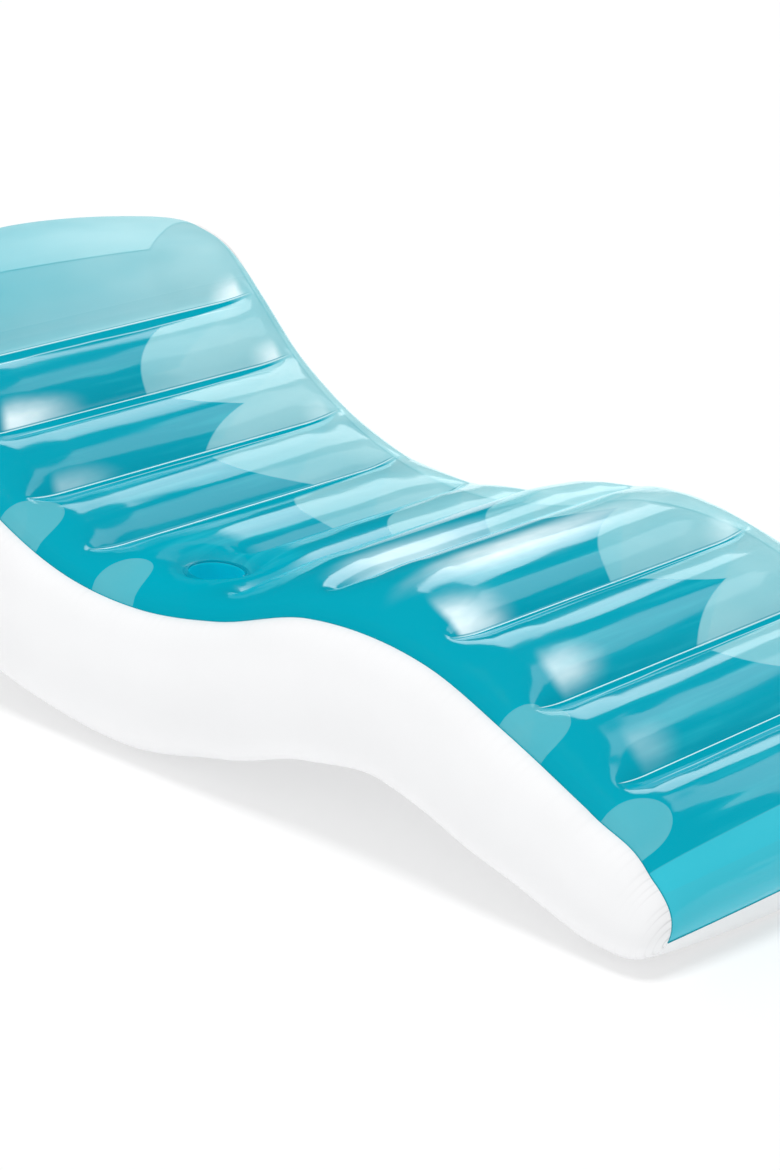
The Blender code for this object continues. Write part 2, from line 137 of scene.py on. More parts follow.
def rollLine(roll, weld, sense, face, shares):
    # a superellipse past the end weld, from the weld's end of the baffle round to the end seam
    along, up = weldSlopes[weld] * sense, weldUps[weld]
    half = np.linalg.norm(weldTops[weld] - weldBottoms[weld]) / 2
    start = 0 if face > 0 else math.pi
    turn = start + shares * (roll["seamTurn"] - start)
    run = np.sin(turn) ** (2 / rollPower)
    rise = np.sign(np.cos(turn)) * np.abs(np.cos(turn)) ** (2 / rollPower)
    lean = (run ** (rollPower - 1) / roll["length"])[:, None]
    stand = (np.sign(rise) * np.abs(rise) ** (rollPower - 1) / half)[:, None]
    lift = half * rise - roll["dip"] * shares
    middle = (weldTops[weld] + weldBottoms[weld]) / 2
    place = middle + along * (roll["length"] * run)[:, None] + up * lift[:, None]
    return place, unit(along * lean + up * stand)


def filmBase(face):
    # every row of a film without its swelling, with the way out of the chair at each
    line, slope = hermite(weldTops if face > 0 else weldBottoms, stations)
    head, headOut = rollLine(headRoll, 0, -1, face, headShares)
    toe, toeOut = rollLine(toeRoll, lastWeld, 1, face, toeShares)
    out = np.vstack([headOut, leftOf(slope) * face, toeOut])
    return np.vstack([head, line, toe]), out


def settle(free, held, target, rowGaps, grip, rounds):
    # a membrane held at some points: every other point is the mean of its neighbours,
    # weighed by how near they are, and drawn back to its free height by the grip squared
    before, after = rowGaps[:-1, None], rowGaps[1:, None]
    toBefore, toAfter = 2 / (before * (before + after)), 2 / (after * (before + after))
    toSide = 1 / columnGap**2
    whole = toBefore + toAfter + 2 * toSide + grip**2
    pull = np.where(held, free - target, 0.0)
    for _ in range(rounds):
        inner = pull[:-2, 1:-1] * toBefore + pull[2:, 1:-1] * toAfter
        inner = (inner + (pull[1:-1, :-2] + pull[1:-1, 2:]) * toSide) / whole
        pull[1:-1, 1:-1] = np.where(held[1:-1, 1:-1], pull[1:-1, 1:-1], inner)
    return free - pull


def softNoise(shape, lumps):
    # random numbers on a coarse grid, blended smoothly up to the full one
    coarse = random.uniform(-1, 1, (lumps[0] + 2, lumps[1] + 2))
    rows, columns = np.linspace(0, lumps[0], shape[0]), np.linspace(0, lumps[1], shape[1])
    i, j = np.minimum(rows.astype(int), lumps[0] - 1), np.minimum(columns.astype(int), lumps[1] - 1)
    a, b = smoothStep(0, 1, rows - i)[:, None], smoothStep(0, 1, columns - j)[None]
    top = coarse[i][:, j] * (1 - b) + coarse[i][:, j + 1] * b
    low = coarse[i + 1][:, j] * (1 - b) + coarse[i + 1][:, j + 1] * b
    return top * (1 - a) + low * a


def channelCrowns(share, limit):
    # the free swelling of each channel, so that between its welds it stands at the wanted crown
    crowns = np.minimum(chords * share, limit)
    return crowns / (1 - 1 / np.cosh(film["grip"] * chords / 2))


film = dict(
    grip=24.0,            # how fast the film recovers past a weld, per metre
    topCrown=(0.19, 0.046),
    bottomCrown=(0.14, 0.020),
    topShoulder=0.020,
    bottomShoulder=0.010,
    topDrop=0.0225,       # how far the side seam lies below the weld line
    bottomDrop=0.0,
    rounds=900,
    endRise=0.012,        # a weld rises towards its ends, over endReach
    endReach=0.085,
    creaseHeight=0.0005,  # folds that fan out from the ends of the welds
    creaseReach=0.075,
    creaseFall=3.0,
    creaseInside=0.35,    # their share between the weld's ends
    ribs=((7, 10, 1.0), (13, 18, 0.6)),   # of each fan: fewest, most, share
    foldHeight=0.0004,    # long soft folds beside the welds
    foldLumps=((130, 5, 1.0), (240, 9, 0.5)),   # along, across, share
    foldStart=(0.002, 0.02),              # no folds where the film stands lower than this
    edgeReach=0.1,        # the channels' swelling gives way to the shoulder's over this
    edgeRise=1.4,
    rollSwell=0.8,        # power of a roll's roundness
    rollRise=1.05,
    rollTurnIn=0.45,      # share of a roll over which its own roundness takes over
    sagLean=0.65,
    seatReach=0.05,       # how far the film may be drawn to a seat of the cup or the valve
    seatFacing=0.5,
    rimMargin=0.003,
    rimGap=0.0003,
    cupHoleGap=0.0015,
)


def shoulderFade():
    # 1 over the middle, and a quarter ellipse down to 0 at each side seam
    start, end = section["shoulderStart"], section["halfWidth"]
    past = np.clip((np.abs(across) - start) / (end - start), 0, 1)
    return np.sqrt(1 - past**2)


def freeHeight(face):
    # how far a film would stand proud of its base with no weld in it
    share, limit = film["topCrown"] if face > 0 else film["bottomCrown"]
    shoulder = film["topShoulder"] if face > 0 else film["bottomShoulder"]
    drop = film["topDrop"] if face > 0 else film["bottomDrop"]
    crowns = channelCrowns(share, limit)
    middle = np.interp(stations, np.arange(lastWeld) + 0.5, crowns)
    fade = shoulderFade()[None]
    edgeStart = section["shoulderStart"] - film["edgeReach"]
    edge = smoothStep(edgeStart, section["halfWidth"], np.abs(across))[None]
    taper = (1 - (np.abs(across) / section["halfWidth"]) ** rollTaper)[None]
    atEdge = shoulder * film["edgeRise"] * edge
    seat = middle[:, None] * (1 - edge) + atEdge
    parts = []
    for roll, shares, crown in ((headRoll, headShares, crowns[0]), (toeRoll, toeShares, crowns[-1])):
        turned = np.maximum(shares, 0.5) * roll["pillow"]
        swell = np.clip(4 * turned * (1 - turned), 0, 1)[:, None] ** film["rollSwell"]
        roundness = swell * roll["crown"] * film["rollRise"] * taper
        joined = crown * (1 - edge) + atEdge
        turnIn = smoothStep(0, film["rollTurnIn"], shares)[:, None]
        height = joined * (1 - turnIn) + roundness * turnIn
        sag = roll["sag"] * np.sin(math.pi * shares ** film["sagLean"])
        lower = (drop * (1 - shares) + sag)[:, None] * (1 - fade)
        parts.append(height * (fade * (1 - turnIn) + turnIn) - lower)
    return np.vstack([parts[0], seat * fade - drop * (1 - fade), parts[1]])


def heldByWelds(face):
    held = np.zeros((rowCount, len(across)), bool)
    for weld, row in enumerate(weldRows):
        right = section["cupWeldEnd"] if weld == section["cupWeld"] and face > 0 else section["weldHalf"]
        onWeld = (across > -right) & (across < section["weldHalf"])
        held[row - 1 : row + 2, onWeld] = True
    return held


def rowGapsOf(base):
    return np.linalg.norm(np.diff(base, axis=0), axis=1)


def creases(face, gaps):
    # ripples that run out from each weld's end like the ribs of a fan, and die away
    lengths = np.concatenate([[0], np.cumsum(gaps)])
    total = np.zeros((rowCount, len(across)))
    for weld, row in enumerate(weldRows):
        for side in (-1, 1):
            end = section["weldHalf"]
            if side < 0 and weld == section["cupWeld"] and face > 0:
                end = section["cupWeldEnd"]
            down = (lengths - lengths[row])[:, None]
            out = (across * side - end)[None]
            reach = np.hypot(down, out) + 1e-6
            angle = np.arctan2(down, out)
            size = reach / film["creaseReach"]
            fan = size * np.exp(1 - size * film["creaseFall"]) * film["creaseHeight"]
            fan = fan * np.where(out > 0, 1, film["creaseInside"])
            for fewest, most, share in film["ribs"]:
                total += share * np.sin(angle * random.uniform(fewest, most) + random.uniform(0, 6)) * fan
    return total


def cupPlane(base, out):
    # the height that brings the film level with the cup holder's rim, and how far it holds
    low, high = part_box("cup_rim")
    centre = ((low.x + high.x) / 2, (low.y + high.y) / 2)
    fromCup = np.hypot(base[:, :1] - centre[0], across[None] - centre[1])
    level = (low.z - film["rimGap"] - base[:, 1]) / out[:, 1]
    return fromCup, level, (high.x - low.x) / 2


valve = dict(flat=0.0285, seatGap=0.0003, holeGap=0.0015)


def valvePlane():
    # the flat that the valve's flange is welded to: its middle, the way out and the collar's radius
    corners = np.array([tuple(vertex.co) for vertex in frame["nodes"]["valve_base"].data.vertices])
    slide = next(joint for joint in frame["joints"] if joint["name"] == "stem_slide")
    outward = unit(np.array(slide["axis"], float))
    depth = corners @ outward
    spread = np.linalg.norm(corners - corners.mean(axis=0) - np.outer(depth - depth.mean(), outward), axis=1)
    flange = spread > spread.max() * 0.95
    level = depth[flange].min() - valve["seatGap"]
    collar = spread[depth < level - 0.002].max()
    centre = corners.mean(axis=0) + outward * (level - depth.mean())
    return centre, outward, collar


def filmSurface(face):
    # base row plus swelling, as points [row, column, xyz], and (length, y) of each point
    base, out = filmBase(face)
    gaps = np.maximum(rowGapsOf(base), 1e-5)
    free = freeHeight(face)
    held = heldByWelds(face)
    toEnd = (np.abs(across) - section["weldHalf"]) / film["endReach"] + 1
    target = np.zeros_like(free) + film["endRise"] * np.clip(toEnd, 0, 1)[None] ** 2
    if face > 0:
        fromCup, level, rimRadius = cupPlane(base, out)
        facing = out[:, 1]
        onSeat = fromCup < rimRadius + film["rimMargin"]
    else:
        centre, outward, _ = valvePlane()
        facing = out @ outward[[0, 2]]
        level = ((centre[[0, 2]] - base) @ outward[[0, 2]])
        level = level / np.where(facing > film["seatFacing"], facing, 1)
        along = np.hypot(*(base + out * level[:, None] - centre[[0, 2]]).T)
        onSeat = np.hypot(along[:, None], across[None]) < valve["flat"]
    onSeat &= ((facing > film["seatFacing"]) & (np.abs(level) < film["seatReach"]))[:, None]
    held |= onSeat
    target = np.where(onSeat, level[:, None], target)
    height = settle(free, held, target, gaps, film["grip"], film["rounds"])
    calm = shoulderFade()[None] * (~onSeat)
    folds = sum(share * softNoise(height.shape, lumps) for *lumps, share in film["foldLumps"])
    loose = smoothStep(*film["foldStart"], height) * calm
    height = height + (creases(face, gaps) * calm + folds * film["foldHeight"]) * loose
    points = np.empty(height.shape + (3,))
    points[..., 0] = base[:, :1] + out[:, :1] * height
    points[..., 1] = across[None]
    points[..., 2] = base[:, 1:] + out[:, 1:] * height
    lengths = np.concatenate([[0], np.cumsum(gaps)])
    chart = np.stack(np.broadcast_arrays(lengths[:, None], across[None]), -1)
    return points, chart, lengths


def onFloor(points):
    # the film lies flat where it meets the floor, with a soft turn up on each side
    turn = 0.004
    points[..., 2] = (points[..., 2] + np.sqrt(points[..., 2] ** 2 + turn**2)) / 2
    return points


def sheetMesh(name, points, chart, keep=None, flip=False, merge=False):
    # a grid of quads in world space with its own chart, one UV per corner
    rows, columns = points.shape[:2]
    index = np.arange(rows * columns).reshape(rows, columns)
    quads = np.stack([index[:-1, :-1], index[1:, :-1], index[1:, 1:], index[:-1, 1:]], -1)
    quads = quads.reshape(-1, 4)
    if flip:
        quads = quads[:, ::-1]
    if keep is not None:
        quads = quads[keep.reshape(-1)]
    mesh = bpy.data.meshes.new(name)
    mesh.from_pydata(points.reshape(-1, 3).tolist(), [], quads.tolist())
    layer = mesh.uv_layers.new(name="chart")
    layer.data.foreach_set("uv", chart.reshape(-1, 2)[quads.reshape(-1)].astype(np.float32).ravel())
    bm = bmesh.new()
    bm.from_mesh(mesh)
    if merge:
        bmesh.ops.remove_doubles(bm, verts=bm.verts, dist=grid["merge"])
    loose = [v for v in bm.verts if not v.link_faces]
    bmesh.ops.delete(bm, geom=loose, context="VERTS")
    bm.to_mesh(mesh)
    bm.free()
    mesh.shade_smooth()
    return mesh


def place(name, mesh, material, body, slot, nodes=(), padded=None):
    piece = bpy.data.objects.new(name, mesh)
    bpy.context.scene.collection.objects.link(piece)
    mesh.materials.clear()
    mesh.materials.append(material)
    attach(piece, body)
    if nodes:
        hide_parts(*nodes)
    return piece


def roundHole(points, centre, radius, axes):
    # pulls the points just inside a hole out to its edge, and says which quads stay
    offset = np.stack([(points - centre) @ axis for axis in axes], -1)
    distance = np.linalg.norm(offset, axis=-1)
    away = np.abs((points - centre) @ np.cross(axes[0], axes[1]))
    inside = (distance < radius) & (away < radius)
    corners = (inside[:-1, :-1], inside[1:, :-1], inside[1:, 1:], inside[:-1, 1:])
    keep = ~(corners[0] & corners[1] & corners[2] & corners[3])
    grow = np.where(inside, radius / np.maximum(distance, 1e-6) - 1, 0)[..., None]
    shift = grow * (offset[..., :1] * axes[0] + offset[..., 1:] * axes[1])
    return points + shift, keep


# Shader maths: a Value wraps a socket, and sums and products of Values add Math nodes
class Value:
    def __init__(self, look, socket):
        self.look = look
        self.socket = socket

    def math(self, operation, *others):
        node = self.look.node("ShaderNodeMath", dict(operation=operation), [self, *others])
        return Value(self.look, node.outputs[0])

    def __add__(self, other):
        return self.math("ADD", other)

    __radd__ = __add__

    def __sub__(self, other):
        return self.math("SUBTRACT", other)

    def __rsub__(self, other):
        return self.look.value(other).math("SUBTRACT", self)

    def __mul__(self, other):
        return self.math("MULTIPLY", other)

    __rmul__ = __mul__

    def __truediv__(self, other):
        return self.math("DIVIDE", other)

    def __rtruediv__(self, other):
        return self.look.value(other).math("DIVIDE", self)

    def __neg__(self):
        return self * -1

    def __pow__(self, other):
        return self.math("POWER", other)

    def __abs__(self):
        return self.math("ABSOLUTE")

    def between(self, low, high):
        # low where this value is 0, high where it is 1
        return self * (high - low) + low

    def fract(self):
        return self.math("FRACT")

    def least(self, other):
        return self.math("MINIMUM", other)

    def most(self, other):
        return self.math("MAXIMUM", other)

    def step(self, low, high, toLow=0.0, toHigh=1.0):
        # a smooth step from toLow at low to toHigh at high
        settings = dict(interpolation_type="SMOOTHSTEP")
        sockets = [self, low, high, toLow, toHigh]
        return Value(self.look, self.look.node("ShaderNodeMapRange", settings, sockets).outputs[0])


class Look:
    def __init__(self, name, colour=(0.8, 0.8, 0.8), glow=0.0, **shader):
        self.material = bpy.data.materials.new(name)
        self.material.use_nodes = True
        self.tree = self.material.node_tree
        self.shader = self.tree.nodes["Principled BSDF"]
        self.shader.inputs["Base Color"].default_value = (*colour, 1)
        self.shader.inputs["Emission Color"].default_value = (*colour, 1)
        self.shader.inputs["Emission Strength"].default_value = glow
        for socket, value in shader.items():
            self.shader.inputs[socket.replace("_", " ")].default_value = value

    def node(self, kind, settings=None, sockets=()):
        # any node: its settings first, then the values or links of its sockets, by order or by name
        node = self.tree.nodes.new(kind)
        for key, value in (settings or {}).items():
            setattr(node, key, value)
        pairs = sockets.items() if isinstance(sockets, dict) else enumerate(sockets)
        for key, value in pairs:
            if isinstance(value, Value):
                self.tree.links.new(value.socket, node.inputs[key])
            elif value is not None:
                node.inputs[key].default_value = value
        return node

    def value(self, number):
        return Value(self, self.node("ShaderNodeMath", dict(operation="ADD"), [number, 0.0]).outputs[0])

    def chart(self):
        # along the chair and across it, in metres
        uv = self.node("ShaderNodeUVMap", dict(uv_map="chart"))
        parts = self.node("ShaderNodeSeparateXYZ", {}, [Value(self, uv.outputs[0])])
        return Value(self, parts.outputs[0]), Value(self, parts.outputs[1])

    def noise(self, x, y, z=0.0, scale=1.0, detail=2.0, roughness=0.5):
        where = self.node("ShaderNodeCombineXYZ", {}, [x, y, z])
        sockets = dict(Vector=Value(self, where.outputs[0]), Scale=scale, Detail=detail, Roughness=roughness)
        return Value(self, self.node("ShaderNodeTexNoise", {}, sockets).outputs[0])

    def place(self):
        # the point's own place in the object, as three Values
        where = self.node("ShaderNodeTexCoord")
        parts = self.node("ShaderNodeSeparateXYZ", {}, [Value(self, where.outputs["Object"])])
        return tuple(Value(self, parts.outputs[i]) for i in range(3))

    def mix(self, factor, first, second):
        # two colours, as tuples or Values
        node = self.node("ShaderNodeMix", dict(data_type="RGBA", clamp_factor=True))
        for index, value in ((0, factor), (6, first), (7, second)):
            if isinstance(value, Value):
                self.tree.links.new(value.socket, node.inputs[index])
            elif index:
                node.inputs[index].default_value = (*value, 1)
            else:
                node.inputs[index].default_value = value
        return Value(self, node.outputs[2])

    def bump(self, height, strength, distance):
        node = self.node("ShaderNodeBump", {}, dict(Height=height, Strength=strength, Distance=distance))
        self.send("Normal", Value(self, node.outputs[0]))

    def send(self, socket, value):
        self.tree.links.new(value.socket, self.shader.inputs[socket])

    def dullWhere(self, factor):
        # a copy of the shader without its shine takes over where the factor is 1
        dull = self.tree.nodes.new("ShaderNodeBsdfPrincipled")
        for socket, same in zip(self.shader.inputs, dull.inputs):
            if socket.is_linked:
                self.tree.links.new(socket.links[0].from_socket, same)
            elif hasattr(socket, "default_value"):
                same.default_value = socket.default_value
        dull.inputs["Specular IOR Level"].default_value = 0.0
        mixed = self.node("ShaderNodeMixShader", {}, [factor])
        self.tree.links.new(self.shader.outputs[0], mixed.inputs[1])
        self.tree.links.new(dull.outputs[0], mixed.inputs[2])
        self.tree.links.new(mixed.outputs[0], self.tree.nodes["Material Output"].inputs[0])

    def colour(self, value):
        # painted light: the colour also drives the emission, so the film glows in its own colour, standing in
        # for light that comes back through it from inside
        self.send("Base Color", value)
        self.send("Emission Color", value)


topLook = dict(
    # painted light: the printed film glows at half strength in its own colour
    glow=0.5,
    dark=(0.0, 0.262, 0.347),
    medium=(0.017, 0.345, 0.42),
    # deep: the painted shade band past each weld, and the dark line just before each weld
    deep=(0.0, 0.245, 0.32),
    # painted shade and light: the plain film goes from darker at the near side to lighter at the far side
    lightNear=(0.083, 0.42, 0.49),
    lightFar=(0.30, 0.59, 0.63),
    toeBand=(0.025, 0.39, 0.485),
    toeEnd=(0.030, 0.375, 0.465),
    # line: the pale weld lines, and the painted fold highlight
    line=(0.62, 0.83, 0.85),
    # pale: the colour of the painted highlights
    pale=(0.72, 0.82, 0.84),
    darkAlpha=0.985,
    lightAlpha=0.66,
    headAlpha=0.62,
    toeAlpha=0.90,
    cupAlpha=0.86,
    cupReach=(0.052, 0.085),         # the print is thinner round the cup holder
    cupDull=(0.115, 0.165),          # and the film there has less shine
    roughness=0.10,
    headRoughness=0.38,
    headDull=0.35,
    toeDull=0.5,
    farLobe=(0.215, 0.135, 0.42, 0.30, 0.015),     # spacing, half length, reach across, shift, blur
    nearLobe=(0.215, 0.044, 0.080, 0.314, 0.020),
    plainSeat=(0.95, 1.65),          # no near lobes between these lengths
    farStrip=0.12,                   # plain light strip along the far side seam
    printStart=0.004,                # past the first weld
    printEnd=0.137,                  # past the last weld
    toeStep=0.176,
    # painted shade: how far the dark band past each weld reaches at the middle
    bandReach=(0.030, 0.029, 0.033, 0.058, 0.045, 0.024, 0.0, 0.032, 0.028, 0.020),
    crestHighlights={4: (0.25, 0.020), 5: (0.6, 0.020), 6: (0.8, 0.020)},  # painted highlights just past these welds: strength and reach past a weld
    printEdge=0.0012,
    streaks=(0.45, 0.75, 0.5),       # painted reflection streaks along the channels: noise from, to, share
    clouds=(0.35, 0.7, 0.4),
    middleEnds=(0.24, 0.36),         # streaks and folds fade out between these, across
    bandEnds=(0.33, 0.405),
    bandTaper=0.42,
    weldFade=0.03,                   # a weld's line fades out over this, at its ends
    cupWeldFade=0.02,
    sway=0.012,
    foldHighlight=(-0.021, 0.0004, 0.0020, 0.5),   # lines by a weld: before it, core, edge, strength; the first is a painted highlight along a fold past the weld
    weldLine=(0.0008, 0.0005, 0.0011, 0.9),
    weldGroove=(0.0028, 0.0005, 0.0013, 1.0),
    afterWeld=(0.0005, 0.0012),
    beforeWeld=(-0.0025, -0.0010),
    grooveShare=0.7,
    lineShare=0.8,
    patchUneven=0.3,
    patchFall=2.6,
    headFade=0.06,
    cupShineLoss=0.9,
    bump=(0.08, 0.002),
)
# Painted highlights on the film before the welds: weld, past it, place across, reach
# towards the head, foot, middle and side, strength
paintedHighlights = (
    (0, -0.006, 0.360, 0.050, 0.020, 0.085, 0.024, 0.95),
    (1, -0.006, 0.356, 0.046, 0.020, 0.080, 0.024, 0.85),
    (1, -0.008, -0.300, 0.050, 0.030, 0.200, 0.034, 1.0),
    (2, -0.006, 0.356, 0.040, 0.020, 0.070, 0.024, 0.35),
    (2, -0.006, -0.300, 0.036, 0.030, 0.160, 0.034, 0.32),
    (6, -0.020, -0.200, 0.055, 0.050, 0.420, 0.200, 0.5),
    (7, -0.121, -0.120, 0.042, 0.062, 0.560, 0.300, 0.7),
    (7, -0.012, -0.350, 0.080, 0.040, 0.150, 0.026, 0.85),
    (7, -0.006, 0.356, 0.046, 0.020, 0.100, 0.024, 0.45),
    (8, -0.040, -0.300, 0.054, 0.050, 0.140, 0.036, 0.55),
    (9, -0.036, -0.300, 0.050, 0.050, 0.110, 0.036, 0.2),
)


def lobes(u, v, side, lobe):
    # half ellipses standing on a side seam, one after another: 0 inside, 1 outside
    spacing, half, reach, shift, blur = lobe
    along = ((u / spacing + shift).fract() - 0.5) * (spacing / half)
    inward = (section["halfWidth"] - v * side) / reach
    return (along * along + inward * inward).step(1 - blur, 1 + blur)


def lineBeside(past, line):
    before, core, edge, strength = line
    return abs(past + before).step(core, edge, strength, 0.0)


def makeTopLook(lengths, cupChart):
    look = Look("printedFilm", topLook["lightNear"], topLook["glow"], Roughness=topLook["roughness"], IOR=1.5)
    u, v = look.chart()
    firstWeld, lastLength = lengths[weldRows[0]], lengths[weldRows[-1]]
    edge = topLook["printEdge"]
    inFar = lobes(u, v, 1, topLook["farLobe"])
    inNear = lobes(u, v, -1, topLook["nearLobe"])
    seatStart, seatEnd = topLook["plainSeat"]
    inNear = inNear.most(u.step(seatStart - edge, seatStart) * u.step(seatEnd, seatEnd + edge, 1.0, 0.0))
    fromFar = section["halfWidth"] - v
    offStrip = fromFar.step(topLook["farStrip"] - edge, topLook["farStrip"] + edge)
    start, end = firstWeld + topLook["printStart"], lastLength + topLook["printEnd"]
    within = u.step(start - edge, start + edge) * u.step(end - edge, end + edge, 1.0, 0.0)
    printed = inFar * inNear * offStrip * within
    # painted reflection streaks: the print turns lighter in streaks along the channels
    streaks = look.noise(u * 60, v * 3.0, detail=3.0)
    clouds = look.noise(u * 9, v * 3.0, 4.0)
    inMiddle = abs(v).step(*topLook["middleEnds"], 1.0, 0.0)
    *streakRange, streakShare = topLook["streaks"]
    dark = look.mix(streaks.step(*streakRange) * inMiddle * streakShare, topLook["dark"], topLook["medium"])
    across = v.step(-section["halfWidth"], section["halfWidth"])
    # painted shade and light across the plain film, darker near, lighter far
    light = look.mix(across, topLook["lightNear"], topLook["lightFar"])
    *cloudRange, cloudShare = topLook["clouds"]
    cloudy = look.mix(across, topLook["toeBand"], topLook["lightNear"])
    light = look.mix(clouds.step(*cloudRange) * cloudShare, light, cloudy)
    toe = u.step(end - edge, end + edge)
    second = lastLength + topLook["toeStep"]
    toeColour = look.mix(u.step(second - edge, second + edge), topLook["toeBand"], topLook["toeEnd"])
    light = look.mix(toe, light, toeColour)
    colour = look.mix(printed, light, dark)
    bright, groove, shade, pale = (look.value(0.0) for _ in range(4))
    onWeld = abs(v).step(section["weldHalf"] - topLook["weldFade"], section["weldHalf"], 1.0, 0.0)
    fading = abs(v).step(*topLook["bandEnds"], 1.0, 0.0)
    taper = (1 - (v / topLook["bandTaper"]) ** 2).most(0.05)
    sway = (look.noise(u * 2, v * 4) - 0.5) * topLook["sway"]
    for weld, row in enumerate(weldRows):
        past = u - lengths[row]
        held = past * 0 + 1
        if weld == section["cupWeld"]:
            held = v.step(-section["cupWeldEnd"], topLook["cupWeldFade"] - section["cupWeldEnd"])
        # a painted highlight along a fold some way past the weld
        fold = lineBeside(past + sway, topLook["foldHighlight"]) * inMiddle
        bright = bright.most(lineBeside(past, topLook["weldLine"]).most(fold) * held)
        groove = groove.most(lineBeside(past, topLook["weldGroove"]) * held)
        after = past.step(*topLook["afterWeld"]) * held
        reach = topLook["bandReach"][weld]
        if reach:
            shade = shade.most(after * (past / taper).step(reach * 0.85, reach * 1.1, 1.0, 0.0))
        # a painted highlight on the crest just past the weld
        if weld in topLook["crestHighlights"]:
            share, reach = topLook["crestHighlights"][weld]
            crest = after * (past / taper).step(reach * 0.3, reach, share, 0.0)
            pale = pale.most(crest * fading)
    # painted highlights before the welds, with uneven edges
    uneven = (look.noise(u * 40, v * 12, 6.0) - 0.5) * topLook["patchUneven"]
    for weld, along, aside, toHead, toFoot, toMiddle, toSide, share in paintedHighlights:
        past = u - lengths[weldRows[weld]]
        out = (v - aside) * math.copysign(1, aside)
        lengthwise = (past - along).most(0) / toFoot + (along - past).most(0) / toHead
        widthwise = out.most(0) / toSide + (-out).most(0) / toMiddle
        spot = 1 - (lengthwise * lengthwise + widthwise * widthwise + uneven)
        spot = spot.most(0).least(1) ** topLook["patchFall"] * share
        pale = pale.most(spot * past.step(*topLook["beforeWeld"], 1.0, 0.0))
    # the painted shade past the welds, faded out towards the sides
    band = shade * fading
    colour = look.mix(band, colour, topLook["deep"])
    colour = look.mix(pale, colour, topLook["pale"])
    colour = look.mix(groove * onWeld * topLook["grooveShare"], colour, topLook["deep"])
    colour = look.mix(bright * onWeld * topLook["lineShare"], colour, topLook["line"])
    look.colour(colour)
    onHead = u.step(firstWeld - topLook["headFade"], firstWeld, 1.0, 0.0)
    plain = toe.between(onHead.between(topLook["lightAlpha"], topLook["headAlpha"]), topLook["toeAlpha"])
    fromCup = ((u - float(cupChart[0])) ** 2 + (v - float(cupChart[1])) ** 2) ** 0.5
    overCup = fromCup.step(*topLook["cupReach"], topLook["cupAlpha"], topLook["darkAlpha"])
    look.send("Alpha", band.most(pale).between(printed.between(plain, overCup), topLook["darkAlpha"]))
    look.send("Roughness", onHead.between(topLook["roughness"], topLook["headRoughness"]))
    ripple = look.noise(u * 45, v * 5.0, 2.0, detail=3.0)
    look.bump(ripple, *topLook["bump"])
    byCup = fromCup.step(*topLook["cupDull"], topLook["cupShineLoss"], 0.0)
    look.dullWhere(band.most(byCup).most(onHead * topLook["headDull"]).most(toe * topLook["toeDull"]))
    return look.material


whiteLook = dict(
    colour=(0.925, 0.93, 0.94),
    # painted light: the white films glow faintly in their own colour
    glow=0.04,
    roughness=0.36,
    roughnessSpread=0.08,
    clouds=6.0,
    cloudShade=0.98,
    grain=900.0,
    grainShare=0.15,
    # painted shade in the valleys of the side panels' gathers
    creaseShade=0.66,
    creaseShare=0.8,
    bump=(0.12, 0.004),
)


def makeWhiteLook(name, colour=whiteLook["colour"], roughness=whiteLook["roughness"], creases=False):
    look = Look(name, colour, whiteLook["glow"], Roughness=roughness, IOR=1.5)
    x, y, z = look.place()
    cloud = look.noise(x, y, z, scale=whiteLook["clouds"], detail=3.0)
    grain = look.noise(x, y, z, scale=whiteLook["grain"], detail=2.0)
    plain = look.mix(cloud.step(0.3, 0.7), colour, tuple(c * whiteLook["cloudShade"] for c in colour))
    if creases:
        # painted shade: darker in the valleys of the gathers, as the chart gives them
        marked = look.chart()[0].least(1) * whiteLook["creaseShare"]
        plain = look.mix(marked, plain, tuple(c * whiteLook["creaseShade"] for c in colour))
    look.colour(plain)
    look.send("Roughness", (cloud - 0.5) * whiteLook["roughnessSpread"] + roughness)
    look.bump(grain * whiteLook["grainShare"] + cloud, *whiteLook["bump"])
    return look.material


clearLook = dict(
    glow=0.12,            # painted light: a glow in the film's own colour, for the share of its brightness that comes through it from behind
    roughness=0.16,
    clouds=14.0,
    cloudLight=1.25,
    cloudShare=0.5,
    alphaSpread=0.1,
    bump=(0.15, 0.003),
)


def makeClearLook(name, colour, alpha, roughness=clearLook["roughness"], glow=clearLook["glow"]):
    look = Look(name, colour, glow, Roughness=roughness, IOR=1.5)
    x, y, z = look.place()
    cloud = look.noise(x, y, z, scale=clearLook["clouds"], detail=3.0)
    lighter = tuple(min(1, c * clearLook["cloudLight"]) for c in colour)
    look.colour(look.mix(cloud.step(0.3, 0.75) * clearLook["cloudShare"], colour, lighter))
    look.send("Alpha", (cloud - 0.5) * clearLook["alphaSpread"] + alpha)
    look.bump(cloud, *clearLook["bump"])
    return look.material


white = makeWhiteLook("whiteFilm")
gathered = makeWhiteLook("gatheredFilm", creases=True)
clear = makeClearLook("clearFilm", (0.10, 0.55, 0.66), 0.5)
# painted light: the cup film glows at half strength, so the inside of the cup looks lit
cupFilm = makeClearLook("cupFilm", (0.0, 0.35, 0.46), 0.92, 0.08, 0.50)
rimFilm = makeClearLook("rimFilm", (0.0, 0.29, 0.40), 0.95, 0.08)
seamFilm = makeClearLook("seamFilm", (0.0, 0.30, 0.38), 0.95)
valvePlastic = makeWhiteLook("valvePlastic", (0.72, 0.80, 0.82), 0.28)
print("looks made")

topPoints, topChart, topLengths = filmSurface(1)
bottomPoints, bottomChart, _ = filmSurface(-1)
bottomPoints = onFloor(bottomPoints)


